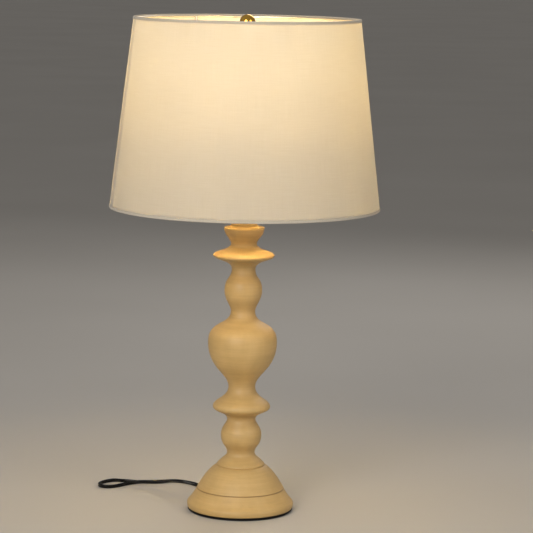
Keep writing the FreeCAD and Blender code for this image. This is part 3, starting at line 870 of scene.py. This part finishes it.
def make_trim(materials, name, node, z_edge, direction):
    """Woven tape rolled over a rim, both edges lying on the shade, its ends lapped.

    The direction is 1 where the shade is above the rim and -1 where it is below.
    """
    segments = 400
    radius = shade_radius(z_edge)
    profile = tape_profile()
    lap = TAPE_LAP / radius
    vertices, uvs = [], []
    for i, (out, along) in enumerate(profile):
        for j in range(segments):
            turn = j / (segments - 1) * (2 * math.pi + lap)
            a = math.radians(SEAM_AZIMUTH) + turn
            ripple = 0.00010 * noise.noise(Vector((math.cos(a) * 9, math.sin(a) * 9, along * 0.6)))
            stand = ripple + 0.00025 * lapped(turn)
            away = out / 1000 + (stand if out > 0 else -stand) - TAPE_IN
            back = direction * along / 1000
            r = radius + away * math.cos(LEAN) - back * math.sin(LEAN)
            z = z_edge + away * math.sin(LEAN) + back * math.cos(LEAN)
            vertices.append((r * math.cos(a), r * math.sin(a), z))
            uvs.append((turn * radius, i * 0.00042))
    faces = grid_faces(len(profile), segments, False)
    if direction > 0:
        faces = [tuple(reversed(face)) for face in faces]
    tape = mesh_object(name, vertices, faces, materials["tape"])
    set_uv(tape, uvs)
    thicken(tape, 0.0003, 0.0)
    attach(tape, "shade")
    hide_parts(node)
    return tape


# ---- small parts ----

KNOB_R = 0.0064
KNOB_LENGTH = 0.0148
KNOB_PROFILE = [
    (0.0020, 0.0), (0.0040, 0.0), (0.0042, 0.0002), (0.0042, 0.0024), (0.0050, 0.0029),
    (0.0061, 0.0033), (KNOB_R, 0.0038), (KNOB_R, 0.0070), (KNOB_R, 0.0100), (KNOB_R, 0.0128),
    (0.0062, 0.0138), (0.0056, 0.0145), (0.0046, KNOB_LENGTH), (0.0040, 0.0146),
    (0.0030, 0.0143), (0.0012, 0.0142),
]
FLUTES = 22
FLUTE_DEPTH = 0.00035
FLOOR_START = 0.02


def make_felt(materials):
    """Glued pad with a cut edge that wanders slightly."""
    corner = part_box("felt_pad")[1]
    rings, segments = 22, 180
    radius, thick = corner.x - 0.0004, corner.z
    levels = [(radius * k / rings, thick) for k in range(1, rings + 1)]
    levels += [(radius + 0.0002, thick * 0.66), (radius + 0.0002, thick * 0.33)]
    levels += [(radius * k / rings, 0.0) for k in range(rings, 0, -1)]

    def fray(r, z, a):
        edge = max(0.0, r / radius - 0.9) * 10
        return r - 0.0003 * edge * abs(noise.noise(Vector((40 * math.cos(a), 40 * math.sin(a), 900 * z))))

    pad = lathe("felt_disc", levels, materials["felt"], segments, fray)
    close_up(pad, end_faces(len(levels), segments))
    for vertex in pad.data.vertices:
        if vertex.co.z < 0.0001:
            pile = noise.noise(Vector((vertex.co.x * 500, vertex.co.y * 500, 0)))
            vertex.co.z += 0.00012 * abs(pile)
    crease(pad, 60)
    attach(pad, "base")
    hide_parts("felt_pad")
    return pad


def make_knob(materials):
    """Fluted switch knob on its shaft."""
    low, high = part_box("switch_knob")
    length = high.y - low.y
    radius = (high.x - low.x) / 2
    centre_z = (low.z + high.z) / 2
    segments = FLUTES * 10

    def flute(r, z, a):
        depth = FLUTE_DEPTH if 0.0036 < z < 0.0135 and r > 0.006 else 0.0
        return r - depth * (0.5 - 0.5 * math.cos(FLUTES * a)) ** 2

    profile = [(r * radius / KNOB_R, z * length / KNOB_LENGTH) for r, z in KNOB_PROFILE]
    knob = lathe("switch_knob_grip", profile, materials["phenolic"], segments, flute)
    close_up(knob, end_faces(len(profile), segments))
    crease(knob, 42)
    knob.data.transform(Matrix.Translation((0, high.y, centre_z)) @ Matrix.Rotation(math.pi / 2, 4, "X"))
    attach(knob, "knob")
    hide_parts("switch_knob")


def make_floor(materials):
    """Large pale sheet the lamp stands on, in rings that double in size."""
    rings, segments = 14, 96
    profile = [(FLOOR_START * 2.0 ** k, 0.0) for k in range(rings)]
    floor = lathe("floor", profile, materials["floor"], segments)
    close_up(floor, [tuple(range(segments))])


make_camera()
make_lights()
finishes = make_materials()
dress_nodes(finishes)
power_cord = make_cord(finishes)
plug = make_plug(finishes)
strap = make_tie(finishes)
cloth = make_cloth(finishes)
top_tape = make_trim(finishes, "rim_tape_top", "top_trim", HIGH_Z, -1)
low_tape = make_trim(finishes, "rim_tape_bottom", "bottom_trim", LOW_Z, 1)
pad = make_felt(finishes)
make_knob(finishes)
make_floor(finishes)
